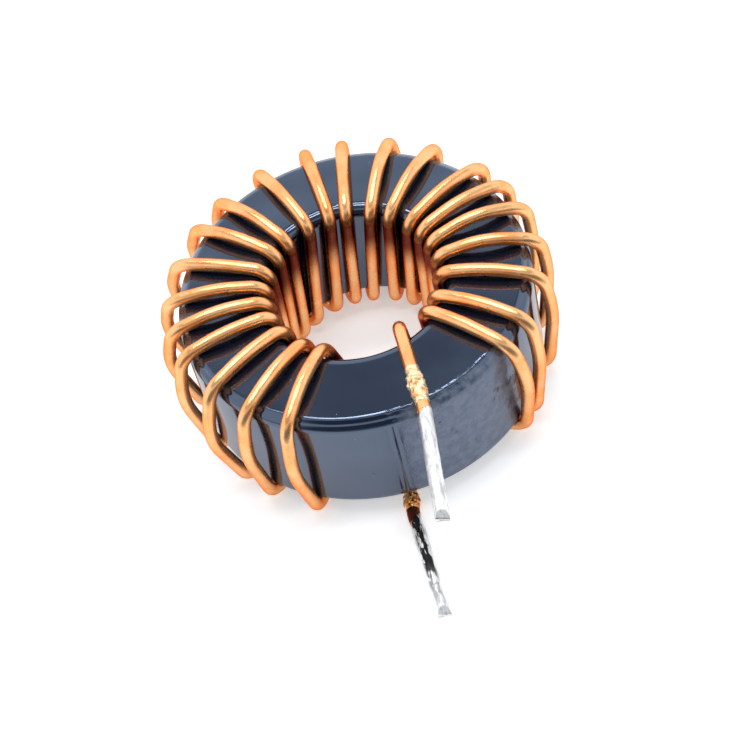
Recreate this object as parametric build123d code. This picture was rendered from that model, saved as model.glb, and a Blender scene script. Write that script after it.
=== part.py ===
"""Toroidal inductor: one thick enamelled wire wound 21 times through a coated ring core.

Millimetres. +Z is the core's axis and z = 0 is the surface the winding rests on. The origin
lies on the core's axis, and both leads point along -Y. The wire is one continuous piece: in
from the bottom lead, up through the bore, over the top, down the outside, back under the core
for each turn, and out over the top as the second lead.
"""

from build123d import *
import math
import os

# Core, sizes over its coating
CORE_OUTER_D = 33.8
CORE_INNER_D = 17.6
CORE_HEIGHT = 12.5
RIM_ROUND = 1.1

# Wire
WIRE_D = 1.26  # over the enamel
COPPER_D = 1.20  # where the enamel is stripped for soldering
LAY_GAP = 0.08  # between the wire and the core's surface
OUTER_BEND = 2.3  # radius of the wire's easy bend over the outer top rim
BOW_RISE = 1.5  # how far above mid height a turn stands out furthest
PITCH_IN_BORE = 0.75  # share of the step to the next turn that is made inside the bore
ARC_SHARE = 0.45  # share of a run that an easy bend may take at each end
LEAD_BEND = 5.0  # radius of the slight bends along the leads

# Turns in winding order, clockwise seen from above. Angles are in degrees from +X: where the
# wire leaves the bore, where it reaches the outer rim, and where it goes under the core. Then
# the rise of its arch over the top face and how far it bows out from the outer wall.
TURNS = [
    (-120.0, -121.0, -119.5, 0.9, 1.6),
    (-133.5, -135.0, -136.0, 0.7, 1.3),
    (-151.5, -149.5, -147.0, 0.4, 1.9),
    (-165.5, -166.0, -164.0, 0.5, 1.4),
    (-178.5, -177.0, -182.5, 0.6, 1.4),
    (-191.0, -189.0, -196.5, 0.5, 1.5),
    (-204.0, -204.0, -210.5, 0.3, 2.1),
    (-219.5, -219.5, -224.0, 0.6, 2.3),
    (-232.5, -232.5, -233.5, 0.8, 2.1),
    (-250.5, -249.0, -249.5, 0.5, 0.7),
    (-266.0, -265.5, -265.0, 0.6, 0.7),
    (-277.5, -278.0, -276.5, 0.2, 0.8),
    (-294.0, -293.5, -294.5, 0.9, 1.0),
    (-307.5, -309.0, -306.0, 0.7, 0.6),
    (-323.5, -327.0, -324.5, 0.5, 0.5),
    (-335.0, -338.0, -338.5, 0.6, 0.5),
    (-347.0, -349.5, -349.5, 0.9, 0.7),
    (-360.5, -364.0, -361.5, 0.8, 0.8),
    (-375.5, -378.5, -378.0, 0.4, 0.9),
    (-394.0, -395.5, -396.5, 0.5, 0.9),
    (-407.0, -406.5, -403.5, 0.4, 1.1),
]

# Bottom lead, laid out under the front of the core
BOTTOM_ENTRY_ANGLE = -90  # where it turns up into the bore
BOTTOM_LEAD_X = 0.25
BOTTOM_KNEE_X = -0.02
BOTTOM_KNEE_OUT = 1.7  # how far the knee is out from the core's wall
BOTTOM_KNEE_RISE = 0.30
BOTTOM_TIP_X = 0.40
BOTTOM_TIP_OUT = 13.3
BOTTOM_TIP_RISE = 0.50

# Top lead, laid out over the front of the core
TOP_ENTRY_ANGLE = -418  # where the wire turns up into the bore for the last time
TOP_EXIT_ANGLE = -426  # where it leaves the bore
TOP_EXIT_LEAN = 0.75  # how far in from the turns it stands there
TOP_KNEE_X = 3.24
TOP_KNEE_OUT = 0.3
TOP_KNEE_RISE = 0.35
TOP_TIP_X = 2.20
TOP_TIP_OUT = 12.5
TOP_TIP_RISE = 0.50

# Solder tinning on the stripped ends
TIN_D = 1.36
TIN_LAP = 0.30  # how far the solder laps over the end of the enamel
TIN_RAMP = 0.08
TIN_CAP = 0.80  # solder past the cut end of the copper
CHISEL_LENGTH = 0.90
CHISEL_EDGE = 0.24
TIP_D = 1.24  # the solder thins towards the nipped tip

# Burnt enamel and flux at the foot of the tinning: beads as (length, height over the skin)
CRUST_SKIN = 0.05
CRUST_GAP = 0.05  # from the crust to the start of the knee's bend
TOP_CRUST = [(0.5, 0.04), (0.8, 0.09), (1.7, 0.16), (1.2, 0.04)]
BOTTOM_CRUST = [(0.7, 0.08), (0.9, 0.12), (0.3, 0.04)]

# Values that follow from the sizes above
WIRE_R = WIRE_D / 2
CORE_OUTER_R = CORE_OUTER_D / 2
CORE_INNER_R = CORE_INNER_D / 2
CORE_MEAN_R = (CORE_OUTER_R + CORE_INNER_R) / 2
CORE_BOTTOM_Z = WIRE_D + LAY_GAP
CORE_MIDDLE_Z = CORE_BOTTOM_Z + CORE_HEIGHT / 2
CORE_TOP_Z = CORE_BOTTOM_Z + CORE_HEIGHT
WIRE_UNDER_Z = WIRE_R
WIRE_OVER_Z = CORE_TOP_Z + LAY_GAP + WIRE_R
WIRE_IN_BORE_R = CORE_INNER_R - LAY_GAP - WIRE_R
WIRE_OUTSIDE_R = CORE_OUTER_R + LAY_GAP + WIRE_R
RIM_BEND = RIM_ROUND + LAY_GAP + WIRE_R


def core():
    """The coated ring: a rectangle with rounded corners turned about the axis."""
    section = RectangleRounded(CORE_OUTER_R - CORE_INNER_R, CORE_HEIGHT, RIM_ROUND)
    return revolve(Plane.XZ * Pos(CORE_MEAN_R, CORE_MIDDLE_Z) * section, axis=Axis.Z)


def rim_corner(before, after, rim, bend):
    """The corner between two runs that both graze a circle of radius bend round a rim.

    The runs come from before and go to after, clockwise round the rim's centre. All points
    are (distance from the axis, height).
    """

    def normal(point, side):
        across, up = point[0] - rim[0], point[1] - rim[1]
        return math.atan2(up, across) + side * math.acos(bend / math.hypot(across, up))

    arriving = normal(before, -1)
    leaving = normal(after, 1)
    half_turn = math.remainder(arriving - leaving, 2 * math.pi) / 2
    reach = bend / math.cos(half_turn)
    middle = arriving - half_turn
    return rim[0] + reach * math.cos(middle), rim[1] + reach * math.sin(middle)


def turn_section(rise, bulge):
    """The six corners of one turn, in the half plane through the core's axis.

    The wire is pulled tight round three rims. Over the outer top rim it bends more gently
    than the rim does, so that bend is centred lower and meets the rim only at its top.
    """
    rim_height = CORE_HEIGHT / 2 - RIM_ROUND
    inner_rim_r = CORE_INNER_R + RIM_ROUND
    outer_rim_r = CORE_OUTER_R - RIM_ROUND
    low_z, high_z = CORE_MIDDLE_Z - rim_height, CORE_MIDDLE_Z + rim_height
    ease = OUTER_BEND - RIM_BEND
    bore = (WIRE_IN_BORE_R, CORE_MIDDLE_Z)
    arch = (CORE_MEAN_R, WIRE_OVER_Z + rise)
    bow = (WIRE_OUTSIDE_R + bulge, CORE_MIDDLE_Z + BOW_RISE)
    under = (CORE_MEAN_R, WIRE_UNDER_Z)
    return [
        rim_corner(under, bore, (inner_rim_r, low_z), RIM_BEND),
        rim_corner(bore, arch, (inner_rim_r, high_z), RIM_BEND),
        arch,
        rim_corner(arch, bow, (outer_rim_r, high_z - ease), OUTER_BEND),
        bow,
        rim_corner(bow, under, (outer_rim_r, low_z), RIM_BEND),
    ]


def at_angle(degrees, corner):
    """A corner of the half plane, swung to its angle about the axis."""
    angle = math.radians(degrees)
    return Vector(corner[0] * math.cos(angle), corner[0] * math.sin(angle), corner[1])


def easy_bend(before, corner, after):
    """The largest radius that a gentle corner takes from the two runs beside it."""
    turn = math.radians((corner - before).get_angle(after - corner))
    shorter_run = min((corner - before).length, (after - corner).length)
    return ARC_SHARE * shorter_run / math.tan(turn / 2)


def turn_points():
    """(point, radius) for every corner of the 21 turns; an easy bend has no radius yet."""
    corners = []
    last_angle = None
    for bore_angle, rim_angle, foot_angle, rise, bulge in TURNS:
        if last_angle is None:
            entry_angle = BOTTOM_ENTRY_ANGLE
        else:
            entry_angle = bore_angle + PITCH_IN_BORE * (last_angle - bore_angle)
        angles = [
            entry_angle,
            bore_angle,
            (bore_angle + rim_angle) / 2,
            rim_angle,
            (rim_angle + foot_angle) / 2,
            foot_angle,
        ]
        radii = [RIM_BEND, RIM_BEND, None, OUTER_BEND, None, RIM_BEND]
        section = turn_section(rise, bulge)
        corners += [(at_angle(a, c), r) for a, c, r in zip(angles, section, radii)]
        last_angle = bore_angle
    return corners


class Lead:
    """One end of the wire: a knee between the crust and the tinning, then a straight run."""

    def __init__(self, back, knee, tip):
        outward = (tip - knee).normalized()
        inward = (back - knee).normalized()
        half_turn = math.radians((knee - back).get_angle(tip - knee)) / 2
        bend_reach = LEAD_BEND * math.tan(half_turn)
        self.knee = knee
        self.tin_start = knee + outward * bend_reach
        self.enamel_end = self.tin_start + outward * TIN_LAP
        self.tin_length = (tip - self.tin_start).length
        self.tin_plane = Plane(
            origin=self.tin_start, x_dir=Vector(0, 0, 1).cross(outward), z_dir=outward
        )
        self.crust_plane = Plane(origin=knee + inward * (bend_reach + CRUST_GAP), z_dir=inward)


BOTTOM_RIM_POINT = Vector(BOTTOM_LEAD_X, -(CORE_OUTER_R - RIM_ROUND), WIRE_UNDER_Z)
BOTTOM_LEAD = Lead(
    back=BOTTOM_RIM_POINT,
    knee=Vector(BOTTOM_KNEE_X, -(CORE_OUTER_R + BOTTOM_KNEE_OUT), WIRE_UNDER_Z + BOTTOM_KNEE_RISE),
    tip=Vector(BOTTOM_TIP_X, -(CORE_OUTER_R + BOTTOM_TIP_OUT), WIRE_UNDER_Z + BOTTOM_TIP_RISE),
)
TOP_EXIT_POINT = at_angle(TOP_EXIT_ANGLE, (WIRE_IN_BORE_R - TOP_EXIT_LEAN, WIRE_OVER_Z))
TOP_LEAD = Lead(
    back=TOP_EXIT_POINT,
    knee=Vector(TOP_KNEE_X, -(CORE_OUTER_R + TOP_KNEE_OUT), WIRE_OVER_Z + TOP_KNEE_RISE),
    tip=Vector(TOP_TIP_X, -(CORE_OUTER_R + TOP_TIP_OUT), WIRE_OVER_Z + TOP_TIP_RISE),
)


def winding_path():
    """The whole route between the two stripped ends, as straight runs and tangent arcs."""
    corners = [
        (BOTTOM_LEAD.enamel_end, None),
        (BOTTOM_LEAD.knee, LEAD_BEND),
        (BOTTOM_RIM_POINT, LEAD_BEND),
    ]
    corners += turn_points()
    corners += [
        (at_angle(TOP_ENTRY_ANGLE, turn_section(0, 0)[0]), RIM_BEND),
        (TOP_EXIT_POINT, RIM_BEND),
        (TOP_LEAD.knee, LEAD_BEND),
        (TOP_LEAD.enamel_end, None),
    ]
    points = [point for point, _ in corners]
    radii = []
    for i in range(1, len(corners) - 1):
        radius = corners[i][1]
        if radius is None:
            radius = easy_bend(points[i - 1], points[i], points[i + 1])
        radii.append(radius)
    return FilletPolyline(*points, radius=radii)


def winding():
    """The enamelled wire from one end to the other, with the bare copper of both ends."""
    path = winding_path()
    wire = sweep(Plane(origin=path @ 0, z_dir=path % 0) * Circle(WIRE_R), path=path)
    volume_by_length = math.pi * WIRE_R**2 * path.length
    print("enamelled wire", round(path.length, 1), "mm, volume by length", round(volume_by_length, 2))
    print("swept volume", round(wire.volume, 2))
    for lead in BOTTOM_LEAD, TOP_LEAD:
        bare_length = lead.tin_length - TIN_CAP - TIN_LAP
        wire += lead.tin_plane * Pos(0, 0, TIN_LAP) * extrude(Circle(COPPER_D / 2), bare_length)
    return wire


def tinning(lead):
    """A solder sleeve that laps the enamel, closed over the copper and nipped to a chisel."""
    length = lead.tin_length
    copper_length = length - TIN_CAP
    sleeve = Polyline(
        (COPPER_D / 2, TIN_LAP),
        (WIRE_R, TIN_LAP),
        (WIRE_R, 0),
        (TIN_D / 2, TIN_RAMP),
        (TIN_D / 2, length - CHISEL_LENGTH),
        (TIP_D / 2, length),
        (0, length),
        (0, copper_length),
        (COPPER_D / 2, copper_length),
        close=True,
    )
    chisel = Polyline(
        (-TIN_D / 2, 0),
        (TIN_D / 2, 0),
        (TIN_D / 2, length - CHISEL_LENGTH),
        (CHISEL_EDGE / 2, length),
        (-CHISEL_EDGE / 2, length),
        (-TIN_D / 2, length - CHISEL_LENGTH),
        close=True,
    )
    body = revolve(Plane.XZ * make_face(sleeve), axis=Axis.Z)
    body &= extrude(Plane.YZ * make_face(chisel), TIN_D, both=True)
    return lead.tin_plane * body


def crust(lead, beads):
    """A string of round beads on the wire, from the lead's knee back towards the core."""
    foot_r = WIRE_R + CRUST_SKIN
    outline = Curve()
    along = 0
    for length, height in beads:
        middle = (foot_r + height, along + length / 2)
        outline += ThreePointArc((foot_r, along), middle, (foot_r, along + length))
        along += length
    outline += Polyline((foot_r, along), (WIRE_R, along), (WIRE_R, 0), (foot_r, 0))
    return lead.crust_plane * revolve(Plane.XZ * make_face(outline), axis=Axis.Z)


nodes = {
    "core": core(),
    "winding": winding(),
    "bottom_lead_tinning": tinning(BOTTOM_LEAD),
    "top_lead_tinning": tinning(TOP_LEAD),
    "bottom_flux_crust": crust(BOTTOM_LEAD, BOTTOM_CRUST),
    "top_flux_crust": crust(TOP_LEAD, TOP_CRUST),
}

os.makedirs("parts", exist_ok=True)
for name, shape in nodes.items():
    shape.label = name
    export_step(shape, f"parts/{name}.step")
    print(name, "volume", round(shape.volume, 2))
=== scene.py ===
# %% [markdown]
# # A toroidal inductor
# A ring core under a glossy dark coating, wound with one thick enamelled copper wire. Both
# ends of the wire are led to the front, where a collar of burnt enamel and flux is followed
# by bare copper under solder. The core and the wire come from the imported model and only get
# their finishes here, because their shapes are already as smooth and round as the real ones.
# The solder and the burnt collars are modelled again, because their lumps are too small and
# too irregular for plain solids.

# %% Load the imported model
import math

import bpy
from mathutils import Matrix, Vector, noise


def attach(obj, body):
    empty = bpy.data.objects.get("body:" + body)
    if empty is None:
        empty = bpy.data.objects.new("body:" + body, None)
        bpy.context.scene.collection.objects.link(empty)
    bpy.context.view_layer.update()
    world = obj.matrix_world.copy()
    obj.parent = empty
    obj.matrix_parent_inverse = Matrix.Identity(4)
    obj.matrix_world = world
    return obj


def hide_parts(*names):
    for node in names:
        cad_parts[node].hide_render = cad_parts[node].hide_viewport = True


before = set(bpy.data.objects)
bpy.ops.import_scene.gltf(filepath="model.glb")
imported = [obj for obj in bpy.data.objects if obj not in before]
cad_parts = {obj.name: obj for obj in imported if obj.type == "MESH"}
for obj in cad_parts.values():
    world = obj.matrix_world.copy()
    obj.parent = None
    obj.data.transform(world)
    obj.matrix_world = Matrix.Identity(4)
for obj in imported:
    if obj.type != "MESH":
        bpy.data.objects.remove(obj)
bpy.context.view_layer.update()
print("solids", sorted(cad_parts))

# %% [markdown]
# ## Camera
# The photograph was taken from the side of the leads, about 50 degrees above the table, with
# a long lens and the camera rolled so that the leads run down to the right. A camera could
# be placed by eye or told to track an empty. Here the view is built from the aim at the
# middle of the core and three small turns, because each can then be set on its own.

# %% Camera: the direction of the view
MM = 0.001
CORE_MIDDLE = Vector((0, 0, 7.59)) * MM
camera_distance = 181.97 * MM
camera_height_angle = math.radians(50.36)
turn_aside = math.radians(-0.298)
turn_up = math.radians(-1.38)
roll = math.radians(-14.80)

away = Vector((0, -math.cos(camera_height_angle), math.sin(camera_height_angle)))
forward = -away
right = Vector((1, 0, 0))
up = right.cross(forward)
forward, right = (
    forward * math.cos(turn_aside) + right * math.sin(turn_aside),
    right * math.cos(turn_aside) - forward * math.sin(turn_aside),
)
forward, up = (
    forward * math.cos(turn_up) + up * math.sin(turn_up),
    up * math.cos(turn_up) - forward * math.sin(turn_up),
)
right, up = (
    right * math.cos(roll) + up * math.sin(roll),
    up * math.cos(roll) - right * math.sin(roll),
)
print("camera looks along", tuple(round(v, 3) for v in forward))

# %% Camera
camera_data = bpy.data.cameras.new("product_camera")
camera_data.sensor_fit = "VERTICAL"
camera_data.sensor_height = 36
camera_data.lens = 92.4
camera_data.clip_start = 0.01
camera = bpy.data.objects.new("product_camera", camera_data)
bpy.context.scene.collection.objects.link(camera)
turned = Matrix((right, up, -forward)).transposed().to_4x4()
camera.matrix_world = Matrix.Translation(CORE_MIDDLE + away * camera_distance) @ turned
bpy.context.scene.camera = camera
bpy.context.scene.view_settings.view_transform = "Standard"
print("camera at", tuple(round(v, 4) for v in camera.matrix_world.translation))

# %% [markdown]
# ## Light
# The bright double line along the rim of the core says that two long soft lamps hang almost
# straight overhead, one a little behind the other. The band under that line is nearly black,
# so the room is dark behind the photographer, and the far part of the top is paler, so it is
# light on the far side near the table. The walls of the core mirror the white table. A room
# could be built from panels, but a world whose brightness depends only on the direction does
# the same, with nothing to keep out of the camera's view.

# %% Helpers for the room's light
world = bpy.data.worlds.new("studio_room")
world.use_nodes = True
bpy.context.scene.world = world
room = world.node_tree


def room_step(value, low, high, to_low, to_high):
    """A smooth step in the room's brightness."""
    step = room.nodes.new("ShaderNodeMapRange")
    step.interpolation_type = "SMOOTHSTEP"
    room.links.new(value, step.inputs["Value"])
    numbers = {"From Min": low, "From Max": high, "To Min": to_low, "To Max": to_high}
    for name, number in numbers.items():
        step.inputs[name].default_value = number
    return step.outputs["Result"]


def room_product(first, second):
    """One brightness times another."""
    step = room.nodes.new("ShaderNodeMath")
    step.operation = "MULTIPLY"
    room.links.new(first, step.inputs[0])
    room.links.new(second, step.inputs[1])
    return step.outputs[0]


# %% Room light
WALLS = 1.25  # brightness of the room near the horizon
CEILING = 0.40
SHADE = 0.10  # share of the walls' light that is left behind the photographer

looking = room.nodes.new("ShaderNodeTexCoord")
towards = room.nodes.new("ShaderNodeSeparateXYZ")
room.links.new(looking.outputs["Generated"], towards.inputs[0])
brightness = room_step(towards.outputs["Z"], 0.70, 0.80, WALLS, CEILING)
in_front = room_step(towards.outputs["Y"], -0.80, -0.45, 1.0, 0.0)
is_low = room_step(towards.outputs["Z"], 0.50, 0.72, 1.0, 0.0)
kept = room_step(room_product(in_front, is_low), 0.0, 1.0, 1.0, SHADE)
background = room.nodes["Background"]
background.inputs["Color"].default_value = (0.93, 0.97, 1.0, 1)
room.links.new(room_product(brightness, kept), background.inputs["Strength"])
print("room: walls", WALLS, "ceiling", CEILING, "in the shade", WALLS * SHADE)

# %% Overhead lamps
LAMP_BRIGHTNESS = 11


def hang_lamp(name, place, width, depth):
    """A rectangular soft lamp aimed at the core; its power follows from its lit face."""
    light = bpy.data.lights.new(name, "AREA")
    light.shape = "RECTANGLE"
    light.size = width
    light.size_y = depth
    light.energy = LAMP_BRIGHTNESS * math.pi * width * depth
    lamp = bpy.data.objects.new(name, light)
    lamp.location = place
    lamp.rotation_euler = (CORE_MIDDLE - Vector(place)).to_track_quat("-Z", "Y").to_euler()
    bpy.context.scene.collection.objects.link(lamp)
    print(name, round(light.energy, 2), "W")


hang_lamp("front_overhead_lamp", (0.00, 0.01, 0.50), 0.34, 0.06)
hang_lamp("rear_overhead_lamp", (0.00, 0.19, 0.47), 0.34, 0.05)

# %% [markdown]
# ## Nodes
# A finish is a small network of nodes. It could be wired by hand in the shader editor. In a
# script a few helpers keep it readable: one joins a value or another node's output to a
# socket, one adds a node with its settings and inputs, and the others are the steps that all
# the finishes share. Every finish reads the surface point in the frame of the whole part, so
# its grain has a real size and stays put from every side.

# %% Helpers for finishes
def join(finish, value, socket):
    """Sets a socket to a plain value, or links it to another node's output."""
    if isinstance(value, bpy.types.NodeSocket):
        finish.node_tree.links.new(value, socket)
    else:
        socket.default_value = value


def add(finish, kind, inputs=None, **settings):
    """Adds a node; settings are its properties, inputs its values or links."""
    node = finish.node_tree.nodes.new(kind)
    for name, value in settings.items():
        setattr(node, name, value)
    for name, value in (inputs or {}).items():
        join(finish, value, node.inputs[name])
    return node


def new_finish(name, **inputs):
    """A material whose Principled shader gets the inputs that are the same all over."""
    finish = bpy.data.materials.new(name)
    finish.use_nodes = True
    shader = finish.node_tree.nodes["Principled BSDF"]
    for key, value in inputs.items():
        shader.inputs[key.replace("_", " ")].default_value = value
    return finish, shader


# %% Helpers for arithmetic in a finish
def math_of(finish, operation, first, second=0.0):
    """One step of arithmetic."""
    return add(finish, "ShaderNodeMath", {0: first, 1: second}, operation=operation).outputs[0]


def product_of(finish, first, second):
    """One value times another."""
    return math_of(finish, "MULTIPLY", first, second)


def ramp_of(finish, value, low, high, to_low=0.0, to_high=1.0):
    """Stretches the range low to high onto another range, smoothly and clamped."""
    inputs = {"Value": value, "From Min": low, "From Max": high, "To Min": to_low, "To Max": to_high}
    return add(finish, "ShaderNodeMapRange", inputs, interpolation_type="SMOOTHSTEP").outputs[0]


def mix_of(finish, share, first, second):
    """A colour between two others."""
    node = add(finish, "ShaderNodeMix", {"Factor": share}, data_type="RGBA")
    join(finish, first, node.inputs[6])
    join(finish, second, node.inputs[7])
    return node.outputs[2]


# %% Helpers for places, grain and relief in a finish
def place_of(finish):
    """The surface point in metres, in the frame that every piece shares."""
    return add(finish, "ShaderNodeTexCoord").outputs["Object"]


def radius_of(finish, place):
    """The distance from the core's axis."""
    flat = add(finish, "ShaderNodeVectorMath", {0: place, 1: (1, 1, 0)}, operation="MULTIPLY")
    return add(finish, "ShaderNodeVectorMath", {0: flat.outputs[0]}, operation="LENGTH").outputs["Value"]


def spot_of(finish, place, middle, inner, outer):
    """1 within the inner distance of a point, fading to 0 at the outer one."""
    off = add(finish, "ShaderNodeVectorMath", {0: place, 1: middle}, operation="DISTANCE")
    return ramp_of(finish, off.outputs["Value"], inner, outer, 1.0, 0.0)


def grain_of(finish, place, size_mm, detail=3.0):
    """Noise whose blotches are about the given size."""
    inputs = {"Vector": place, "Scale": 1000 / size_mm, "Detail": detail}
    return add(finish, "ShaderNodeTexNoise", inputs).outputs["Fac"]


def bump_of(finish, height, depth_mm, below=None):
    """Raises the surface by height times depth_mm; below is a bump to build on."""
    inputs = {"Height": height, "Distance": depth_mm * MM, "Strength": 1.0}
    node = add(finish, "ShaderNodeBump", inputs)
    if below is not None:
        join(finish, below, node.inputs["Normal"])
    return node.outputs["Normal"]


# %% [markdown]
# ## Table
# A plain pale table. White paper would be lit to white by stronger lamps, but then the part
# would be too bright. So the colour is a light grey that is lifted to white only for what the
# camera sees and what the gloss mirrors: the core's shadow stays on it and no extra light
# reaches the part. Towards the photographer the table's grey is darkened and not lifted in the
# gloss, a painted shade that the upper wall of the core mirrors as a soft dark band; the camera
# still sees that part white.

# %% Table: finish
TABLE_GREY = (0.86, 0.86, 0.87, 1)
PAINTED_SHADE_GREY = (0.25, 0.26, 0.28, 1)
LIFT = 0.42  # takes the lit grey to white
PAINTED_SHADE_LIFT = 0.90  # takes the shaded grey to white, for the camera alone

table_finish, table_shader = new_finish("white_table", Roughness=0.8)
across = add(table_finish, "ShaderNodeSeparateXYZ", {"Vector": place_of(table_finish)})
# Painted shade: the table's grey darkens towards the photographer, and only the camera's lift hides it.
painted_shade = ramp_of(table_finish, across.outputs["Y"], -0.085, -0.040, 1.0, 0.0)
grey = mix_of(table_finish, painted_shade, TABLE_GREY, PAINTED_SHADE_GREY)
join(table_finish, grey, table_shader.inputs["Base Color"])
seen = add(table_finish, "ShaderNodeLightPath")
gloss_lift = ramp_of(table_finish, painted_shade, 0.0, 1.0, LIFT, 0.0)
camera_lift = ramp_of(table_finish, painted_shade, 0.0, 1.0, LIFT, PAINTED_SHADE_LIFT)
mirrored = product_of(table_finish, seen.outputs["Is Glossy Ray"], gloss_lift)
photographed = product_of(table_finish, seen.outputs["Is Camera Ray"], camera_lift)
lift = math_of(table_finish, "ADD", mirrored, photographed)
table_shader.inputs["Emission Color"].default_value = (1, 1, 1, 1)
join(table_finish, lift, table_shader.inputs["Emission Strength"])

# %% Table
TABLE_HALF = 1.5
corners = [(-1, -1), (1, -1), (1, 1), (-1, 1)]
table_mesh = bpy.data.meshes.new("table")
table_mesh.from_pydata([(x * TABLE_HALF, y * TABLE_HALF, 0) for x, y in corners], [], [(0, 1, 2, 3)])
table = bpy.data.objects.new("table", table_mesh)
table.data.materials.append(table_finish)
bpy.context.scene.collection.objects.link(table)
print("table", 2 * TABLE_HALF, "m wide")

# %% [markdown]
# ## Core coating
# The core is pressed metal powder under a thick coat of dark epoxy, which flows out smooth
# and glossy. Its gloss is nearly a mirror, with a faint waviness and a few pimples. On the
# front right a film of glue or varnish has dried matt and mottled, from a vertical run near
# the middle of the wall to the last turn. The film could be a second skin over the core, but
# it has no thickness that shows, so it is a patch in the coating's own finish. It is found by
# the angle round the axis, which a picture wrapped round the core would also need.

# %% Core coating: angle, height and wall
CORE_OUTER_R = 16.9
coating, coating_shader = new_finish("core_coating", IOR=2.2, Specular_Tint=(0.56, 0.71, 1.0, 1))
place = place_of(coating)
parts = add(coating, "ShaderNodeSeparateXYZ", {"Vector": place})
angle = math_of(coating, "ARCTAN2", parts.outputs["Y"], parts.outputs["X"])
height = parts.outputs["Z"]
radius = radius_of(coating, place)
on_wall = ramp_of(coating, radius, 15.9 * MM, 16.5 * MM)

# %% Core coating: the film of glue
FILM_START = math.radians(-90.5)
FILM_END = math.radians(-47)
wobble = math_of(coating, "SUBTRACT", grain_of(coating, place, 3.0), 0.5)
ragged_angle = math_of(coating, "ADD", angle, product_of(coating, wobble, 0.22))
film_left = ramp_of(coating, angle, FILM_START, FILM_START + 0.14)
film_right = ramp_of(coating, ragged_angle, FILM_END, FILM_END + 0.08, 1.0, 0.0)
film = product_of(coating, product_of(coating, film_left, film_right), on_wall)
mottle = grain_of(coating, place, 0.9, 5.0)
print("film", round(CORE_OUTER_R * (FILM_END - FILM_START), 1), "mm wide along the wall")

# %% Core coating: the vertical run
RUN_ANGLE = math.radians(-89.6)
RUN_HALF_WIDTH = 0.030
off_run = math_of(coating, "ABSOLUTE", math_of(coating, "SUBTRACT", angle, RUN_ANGLE))
run = product_of(coating, ramp_of(coating, off_run, 0.004, RUN_HALF_WIDTH, 1.0, 0.0), on_wall)
pale_streak = product_of(coating, ramp_of(coating, off_run, 0.002, 0.012, 1.0, 0.0), on_wall)
lower_half = ramp_of(coating, height, 6.5 * MM, 8.5 * MM, 1.0, 0.0)
pale_streak = product_of(coating, pale_streak, lower_half)
print("run", round(2 * CORE_OUTER_R * RUN_HALF_WIDTH, 2), "mm wide")

# %% Core coating: colour
BLUE_BLACK = (0.0040, 0.0085, 0.0230, 1)
FILM_DARK = (0.022, 0.030, 0.052, 1)
FILM_PALE = (0.130, 0.145, 0.185, 1)
PALE_STREAK_GREY = (0.42, 0.42, 0.40, 1)
DUST = (0.5, 0.52, 0.55, 1)
film_colour = mix_of(coating, ramp_of(coating, mottle, 0.35, 0.68), FILM_DARK, FILM_PALE)
colour = mix_of(coating, film, BLUE_BLACK, film_colour)
# A pale grey streak along the lower half of the run.
colour = mix_of(coating, product_of(coating, pale_streak, 0.4), colour, PALE_STREAK_GREY)
dust = ramp_of(coating, grain_of(coating, place, 0.30, 1.0), 0.81, 0.84)
colour = mix_of(coating, dust, colour, DUST)
join(coating, colour, coating_shader.inputs["Base Color"])

# %% Core coating: gloss
film_gloss = ramp_of(coating, mottle, 0.3, 0.7, 0.30, 0.52)
plain_gloss = ramp_of(coating, grain_of(coating, place, 6.0), 0.3, 0.7, 0.07, 0.14)
glosses = {"Factor": film, 2: plain_gloss, 3: film_gloss}
gloss = add(coating, "ShaderNodeMix", glosses, data_type="FLOAT")
join(coating, gloss.outputs[0], coating_shader.inputs["Roughness"])

# %% [markdown]
# ### Relief of the coating
# The wet coat drew back a little towards the top of the wall, so the wall leans in there and
# mirrors the shade in front of it as a dark band. The coat is slightly wavy, the film is
# uneven, its edge along the rim is beaded, and the run stands out. All of it is far thinner
# than the rim's round, so bumps that are stacked on each other are enough, and the solid
# keeps its size.

# %% Core coating: relief
near_top = math_of(coating, "POWER", ramp_of(coating, height, 6.5 * MM, 14.0 * MM), 2.0)
drawn_back = product_of(coating, near_top, on_wall)
crown = bump_of(coating, math_of(coating, "SUBTRACT", 1.0, drawn_back), 0.25)
waves = bump_of(coating, grain_of(coating, place, 7.0, 1.0), 0.10, crown)
unevenness = product_of(coating, film, grain_of(coating, place, 0.7, 4.0))
relief = bump_of(coating, unevenness, 0.10, waves)
on_rim = product_of(coating, ramp_of(coating, radius, 15.6 * MM, 16.0 * MM), film_left)
on_rim = product_of(coating, on_rim, film_right)
beading = math_of(coating, "SUBTRACT", grain_of(coating, place, 0.9, 2.0), 0.5)
relief = bump_of(coating, product_of(coating, beading, on_rim), 0.10, relief)
relief = bump_of(coating, run, 0.05, relief)

# %% Core coating: pimples
PIMPLES = [  # angle in degrees, height and size in mm
    (-71.4, 8.7, 0.42),
    (-70.2, 8.0, 0.30),
    (-53.2, 9.5, 0.50),
    (-55.0, 8.6, 0.34),
    (-64.0, 5.2, 0.30),
    (-75.0, 10.6, 0.28),
    (-99.0, 6.0, 0.22),
]
for pimple_angle, pimple_height, size in PIMPLES:
    turn = math.radians(pimple_angle)
    middle = Vector((CORE_OUTER_R * math.cos(turn), CORE_OUTER_R * math.sin(turn), pimple_height)) * MM
    relief = bump_of(coating, spot_of(coating, place, middle, 0.0, size * MM), size * 0.35, relief)
join(coating, relief, coating_shader.inputs["Normal"])

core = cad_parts["core"]
core.data.materials.clear()
core.data.materials.append(coating)
print("core", len(core.data.polygons), "faces, pimples", len(PIMPLES))

# %% [markdown]
# ## Enamelled wire
# Magnet wire is drawn copper under a thin clear enamel, which shows the metal but warms it.
# It could be a clear shell over a copper core, but at this size light hardly bends in the
# shell. So it is one metal with a softer gloss of its own, a faint clear coat, and a redder
# tint at its edges, where one looks through more enamel. Slow changes of tint and fine
# speckles keep it from looking like a perfect tube.

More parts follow.
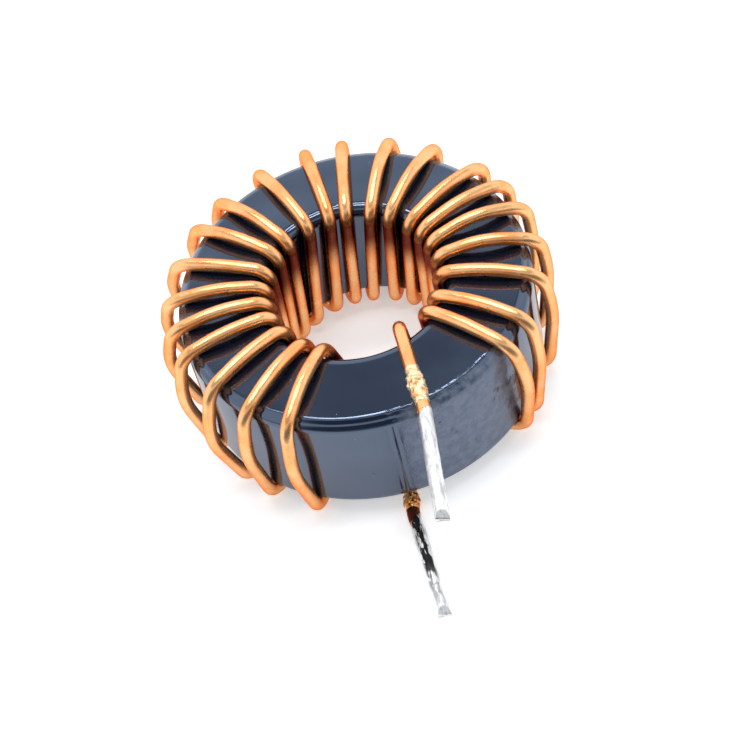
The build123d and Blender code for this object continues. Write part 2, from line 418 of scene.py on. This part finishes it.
# %% Enamelled wire: tint
BRIGHT_COPPER = (1.0, 0.55, 0.25, 1)
DEEP_COPPER = (1.0, 0.43, 0.155, 1)
SPECKLE_BROWN = (0.60, 0.20, 0.05, 1)
enamel, enamel_shader = new_finish(
    "enamelled_copper",
    Metallic=0.92,
    Specular_Tint=(0.92, 0.24, 0.12, 1),
    Coat_Weight=0.15,
    Coat_Roughness=0.2,
)
place = place_of(enamel)
tint = ramp_of(enamel, grain_of(enamel, place, 2.6, 4.0), 0.42, 0.68)
speckle = ramp_of(enamel, grain_of(enamel, place, 0.28, 2.0), 0.64, 0.74)
colour = mix_of(enamel, tint, BRIGHT_COPPER, DEEP_COPPER)
colour = mix_of(enamel, product_of(enamel, speckle, 0.4), colour, SPECKLE_BROWN)

# %% Enamelled wire: painted shade in the upper bore, and a darker spot beside the lower collar
DARK_RED = (0.10, 0.010, 0.007, 1)
LOWER_COLLAR = (0, -18.7 * MM, 1.0 * MM)
height = add(enamel, "ShaderNodeSeparateXYZ", {"Vector": place}).outputs["Z"]
# Painted shade: the bore passes turn deep red below the inner rim, fading further down.
in_bore = ramp_of(enamel, radius_of(enamel, place), 8.6 * MM, 9.0 * MM, 1.0, 0.0)
below_rim = ramp_of(enamel, height, 12.8 * MM, 14.0 * MM, 1.0, 0.0)
fading = ramp_of(enamel, height, 7.5 * MM, 11.5 * MM)
darkened = product_of(enamel, product_of(enamel, in_bore, below_rim), fading)
# A darker spot on the wire beside the lower collar.
dark_collar_spot = spot_of(enamel, place, LOWER_COLLAR, 0.9 * MM, 1.6 * MM)
darkened = product_of(enamel, math_of(enamel, "MAXIMUM", darkened, dark_collar_spot), 0.95)
colour = mix_of(enamel, darkened, colour, DARK_RED)
join(enamel, colour, enamel_shader.inputs["Base Color"])

# %% Enamelled wire: gloss and relief
softness = ramp_of(enamel, grain_of(enamel, place, 1.4, 3.0), 0.3, 0.7, 0.25, 0.33)
join(enamel, softness, enamel_shader.inputs["Roughness"])
drawn = bump_of(enamel, grain_of(enamel, place, 2.2, 2.0), 0.03)
join(enamel, bump_of(enamel, speckle, 0.003, drawn), enamel_shader.inputs["Normal"])

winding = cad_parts["winding"]
winding.data.materials.clear()
winding.data.materials.append(enamel)
print("winding", len(winding.data.polygons), "faces")

# %% [markdown]
# ## The lead's own direction
# Each coat of solder and each burnt collar is wrapped round a straight stretch of the wire.
# Its axis could be typed in, but then it would be wrong as soon as the lead moved. It is
# measured instead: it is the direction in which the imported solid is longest. The corners of a
# round solid are spread evenly round that line, so their spread along it is the greatest.

# %% Axis of a lead's piece
def axis_of(node):
    """(start, direction, length) of a straight round solid, from the core outwards."""
    points = [v.co.copy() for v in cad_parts[node].data.vertices]
    middle = sum(points, Vector()) / len(points)
    direction = Vector((0, -1, 0))
    for _ in range(40):
        spread = sum(((p - middle) * (p - middle).dot(direction) for p in points), Vector())
        direction = spread.normalized()
    along = [(p - middle).dot(direction) for p in points]
    low, high = min(along), max(along)
    return middle + direction * low, direction, high - low


for node in ("top_lead_tinning", "bottom_lead_tinning", "top_flux_crust", "bottom_flux_crust"):
    start, direction, length = axis_of(node)
    print(node, "length", round(length / MM, 2), "mm, direction", tuple(round(c, 3) for c in direction))

# %% [markdown]
# ## Skins of solder and burnt enamel
# A skin is a stack of rings along the axis. The radius of each point is the plain one from
# the solid plus lumps from smooth noise, which is how a frozen liquid looks. A displaced
# cylinder would give the same lumps, but not the slanted foot, nor the wedge where cutters
# nipped the lead, which comes from pressing the last rings between two planes.

# %% Stack of rings
def ring_skin(name, node, span_at, radius_at, half_height_at, step_mm, around=72):
    """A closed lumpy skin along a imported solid; the three functions work in millimetres.

    span_at gives the first and the last place along the axis for a turn round it, radius_at
    the radius, and half_height_at how far above and below the axis a ring may reach.
    """
    start, direction, length = axis_of(node)
    side = Vector((0, 0, 1)).cross(direction).normalized()
    lift = direction.cross(side)
    count = max(8, round(length / MM / step_mm))
    verts, faces = [], []
    for ring in range(count + 1):
        for step in range(around):
            turn = 2 * math.pi * step / around
            foot, tip = span_at(turn)
            along = foot + (tip - foot) * ring / count
            r = radius_at(along, along - foot, turn)
            limit = half_height_at(along)
            raised = max(-limit, min(limit, r * math.sin(turn)))
            point = start / MM + direction * along + side * (r * math.cos(turn)) + lift * raised
            verts.append(point * MM)
    for ring in range(count):
        for step in range(around):
            a, b = ring * around + step, ring * around + (step + 1) % around
            faces.append((a, b, b + around, a + around))
    faces.append(tuple(reversed(range(around))))
    faces.append(tuple(range(count * around, (count + 1) * around)))
    return skin_piece(name, node, verts, faces)


def skin_piece(name, node, verts, faces):
    """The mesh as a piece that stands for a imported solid."""
    mesh = bpy.data.meshes.new(name)
    mesh.from_pydata(verts, [], faces)
    mesh.shade_smooth()
    skin = bpy.data.objects.new(name, mesh)
    bpy.context.scene.collection.objects.link(skin)
    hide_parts(node)
    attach(skin, "root")
    print(name, len(faces), "faces")
    return skin


# %% Lumps
def lumps(along, turn, size_mm, seed):
    """Smooth noise from -1 to 1 on the round surface, with lumps of the given size."""
    point = Vector((0.66 * math.cos(turn), 0.66 * math.sin(turn), along)) / size_mm
    return noise.noise(point + Vector((seed, 3.1 * seed, 0)))


def clamp(value):
    """The value held between 0 and 1."""
    return max(0.0, min(1.0, value))


# %% [markdown]
# ## Solder
# The stripped ends were dipped in solder, which froze in a bright frosted skin that is
# streaked along the wire, as it ran off there. Its foot is slanted, so a tongue of bare copper
# shows beside it. The cutters left a flat end. The upper lead is evenly bright. On the lower
# one the grooves of its upper side are black, densely near the core and thinner further out.
# The black could be painted on by hand; here it is wherever the streaks are deep, so it follows
# the same noise as the grooves.

# %% Solder finish
GROOVE_GREY = (0.55, 0.56, 0.57, 1)
RIDGE_WHITE = (0.86, 0.86, 0.86, 1)
FROST_GREY = (0.66, 0.67, 0.69, 1)


def solder_finish(name, groove_mm):
    """Frosted bright solder, streaked along the lead; also gives its colour and place."""
    solder, solder_shader = new_finish(name, Metallic=1.0)
    place = place_of(solder)
    drawn_out = add(solder, "ShaderNodeVectorMath", {0: place, 1: (1, 0.22, 1)}, operation="MULTIPLY")
    streaks = grain_of(solder, drawn_out.outputs[0], 0.30, 4.0)
    frost = grain_of(solder, place, 0.12, 2.0)
    colour = mix_of(solder, ramp_of(solder, streaks, 0.34, 0.56), GROOVE_GREY, RIDGE_WHITE)
    colour = mix_of(solder, ramp_of(solder, frost, 0.62, 0.72), colour, FROST_GREY)
    join(solder, ramp_of(solder, streaks, 0.3, 0.7, 0.50, 0.36), solder_shader.inputs["Roughness"])
    join(solder, bump_of(solder, streaks, groove_mm), solder_shader.inputs["Normal"])
    join(solder, colour, solder_shader.inputs["Base Color"])
    return solder, solder_shader, place, streaks, colour


bright_solder = solder_finish("bright_solder", 0.04)[0]

# %% Solder with black in the grooves of its upper side
LEAD_SLOPE = 0.0362  # how far the lower lead drifts to the right for each step outwards
LEAD_X = -0.72 * MM  # where its line would cross the middle of the core
GROOVE_BLACK = (0.03, 0.03, 0.03, 1)

dark_grooved_solder, solder_shader, place, streaks, colour = solder_finish("dark_grooved_solder", 0.10)
parts = add(dark_grooved_solder, "ShaderNodeSeparateXYZ", {"Vector": place})
outwards = product_of(dark_grooved_solder, parts.outputs["Y"], -1.0)
axis_x = math_of(dark_grooved_solder, "ADD", product_of(dark_grooved_solder, outwards, LEAD_SLOPE), LEAD_X)
off_axis = math_of(dark_grooved_solder, "SUBTRACT", parts.outputs["X"], axis_x)
off_axis = math_of(dark_grooved_solder, "ABSOLUTE", off_axis)
in_band = ramp_of(dark_grooved_solder, off_axis, 0.36 * MM, 0.56 * MM, 1.0, 0.0)
near_core = ramp_of(dark_grooved_solder, outwards, 24.5 * MM, 28.5 * MM, 1.0, 0.0)
depth = math_of(dark_grooved_solder, "ADD", streaks, product_of(dark_grooved_solder, near_core, -0.06))
grooves = ramp_of(dark_grooved_solder, depth, 0.44, 0.49, 1.0, 0.0)
# Black in the deep grooves along the upper side, densest near the core.
black_in_grooves = product_of(dark_grooved_solder, product_of(dark_grooved_solder, in_band, near_core), grooves)
colour = mix_of(dark_grooved_solder, black_in_grooves, colour, GROOVE_BLACK)
join(dark_grooved_solder, colour, solder_shader.inputs["Base Color"])

# %% Solder skins
WIRE_R = 0.63
TIN_R = 0.665
FOOT_SLANT = 0.55
CHISEL_LENGTH = 0.90
CHISEL_HALF_EDGE = 0.12


def tin_skin(name, node, finish, ripple_mm, seed):
    """Solder over one stripped end: slanting foot, rippled barrel and flat nipped end."""
    length = axis_of(node)[2] / MM

    def span_at(turn):
        foot = FOOT_SLANT * (1 - math.cos(turn - 0.4)) + 0.08 * lumps(0, turn, 0.4, seed)
        return foot, length - 0.12 + 0.12 * math.cos(turn) + 0.05 * lumps(5, turn, 0.4, seed)

    def radius_at(along, from_foot, turn):
        thickness = TIN_R - WIRE_R + ripple_mm * lumps(along, turn, 0.5, seed)
        thickness += 0.020 * lumps(along, turn, 1.7, seed + 7)
        end_round = clamp(1 - (length - along) / 0.25)
        return WIRE_R + thickness * clamp(from_foot / 0.12) ** 0.5 - 0.06 * end_round**2

    def half_height_at(along):
        share = clamp((length - along) / CHISEL_LENGTH)
        if share == 1.0:
            return 2.0
        return CHISEL_HALF_EDGE + (TIN_R + 0.02 - CHISEL_HALF_EDGE) * share

    skin = ring_skin(name, node, span_at, radius_at, half_height_at, 0.09)
    skin.data.materials.append(finish)


tin_skin("top_solder_skin", "top_lead_tinning", bright_solder, 0.022, 2.0)
tin_skin("bottom_solder_skin", "bottom_lead_tinning", dark_grooved_solder, 0.030, 5.0)

# %% [markdown]
# ## Burnt collars
# Where the enamel was burnt off before dipping, its edge has boiled with the flux into a
# brittle crust, darker where it charred. The upper collar is golden orange with pale painted
# highlights and ends in a smooth warm copper colour, the lower one is charred red-brown with
# yellow painted glints. Single beads could be strung along the wire, but the real ones have run
# together, so each collar is one skin that swells at each blister and is broken up by two sizes
# of lumps.

# %% Burnt enamel finish
def burnt_finish(name, char_from, char_to, charred, golden, painted_glint):
    """Boiled enamel; noise between the two levels goes from charred to golden, then to painted glints.
    """
    burnt, burnt_shader = new_finish(name, Metallic=0.7, Coat_Weight=0.4, Coat_Roughness=0.12)
    place = place_of(burnt)
    char = grain_of(burnt, place, 0.5, 4.0)
    colour = mix_of(burnt, ramp_of(burnt, char, char_from, char_to), charred, golden)
    # Painted highlight: the brightest noise turns to a pale glint colour.
    colour = mix_of(burnt, ramp_of(burnt, char, char_to, char_to + 0.14), colour, painted_glint)
    join(burnt, colour, burnt_shader.inputs["Base Color"])
    join(burnt, ramp_of(burnt, char, 0.3, 0.7, 0.42, 0.22), burnt_shader.inputs["Roughness"])
    flakes = grain_of(burnt, place, 0.30, 3.0)
    join(burnt, bump_of(burnt, flakes, 0.07), burnt_shader.inputs["Normal"])
    return burnt


golden_flux = burnt_finish(
    "golden_flux",
    char_from=0.24,
    char_to=0.38,
    charred=(0.34, 0.075, 0.015, 1),
    golden=(1.0, 0.44, 0.14, 1),
    painted_glint=(1.0, 0.80, 0.50, 1),
)
charred_flux = burnt_finish(
    "charred_flux",
    char_from=0.42,
    char_to=0.52,
    charred=(0.13, 0.015, 0.004, 1),
    golden=(0.80, 0.28, 0.04, 1),
    painted_glint=(1.0, 0.78, 0.30, 1),
)

# %% Burnt collars
GOLDEN_BLISTERS = [(1.15, 0.30, 0.09), (2.0, 0.60, 0.17), (3.05, 0.35, 0.09)]
CHARRED_BLISTERS = [(0.45, 0.35, 0.10), (1.15, 0.40, 0.13)]


def burnt_collar(name, node, finish, blisters, seed):
    """A crust on the wire; blisters are (place along in mm, half length, height) of its beads."""
    length = axis_of(node)[2] / MM

    def radius_at(along, from_foot, turn):
        crust_height = 0.015
        for middle, half_length, blister_height in blisters:
            off = (along - middle) / half_length
            crust_height += blister_height * math.exp(-off * off)
        rough = 0.6 * lumps(along, turn, 0.5, seed) + 0.5 * lumps(along, turn, 0.22, seed + 4)
        edge = clamp(min(along, length - along) / 0.15)
        return WIRE_R + 0.01 + edge * max(0.0, crust_height * (1 + 1.5 * rough))

    skin = ring_skin(name, node, lambda turn: (0.0, length), radius_at, lambda along: 2.0, 0.04, 96)
    skin.data.materials.append(finish)


burnt_collar("top_burnt_collar", "top_flux_crust", golden_flux, GOLDEN_BLISTERS, 1.5)
burnt_collar("bottom_burnt_collar", "bottom_flux_crust", charred_flux, CHARRED_BLISTERS, 8.5)
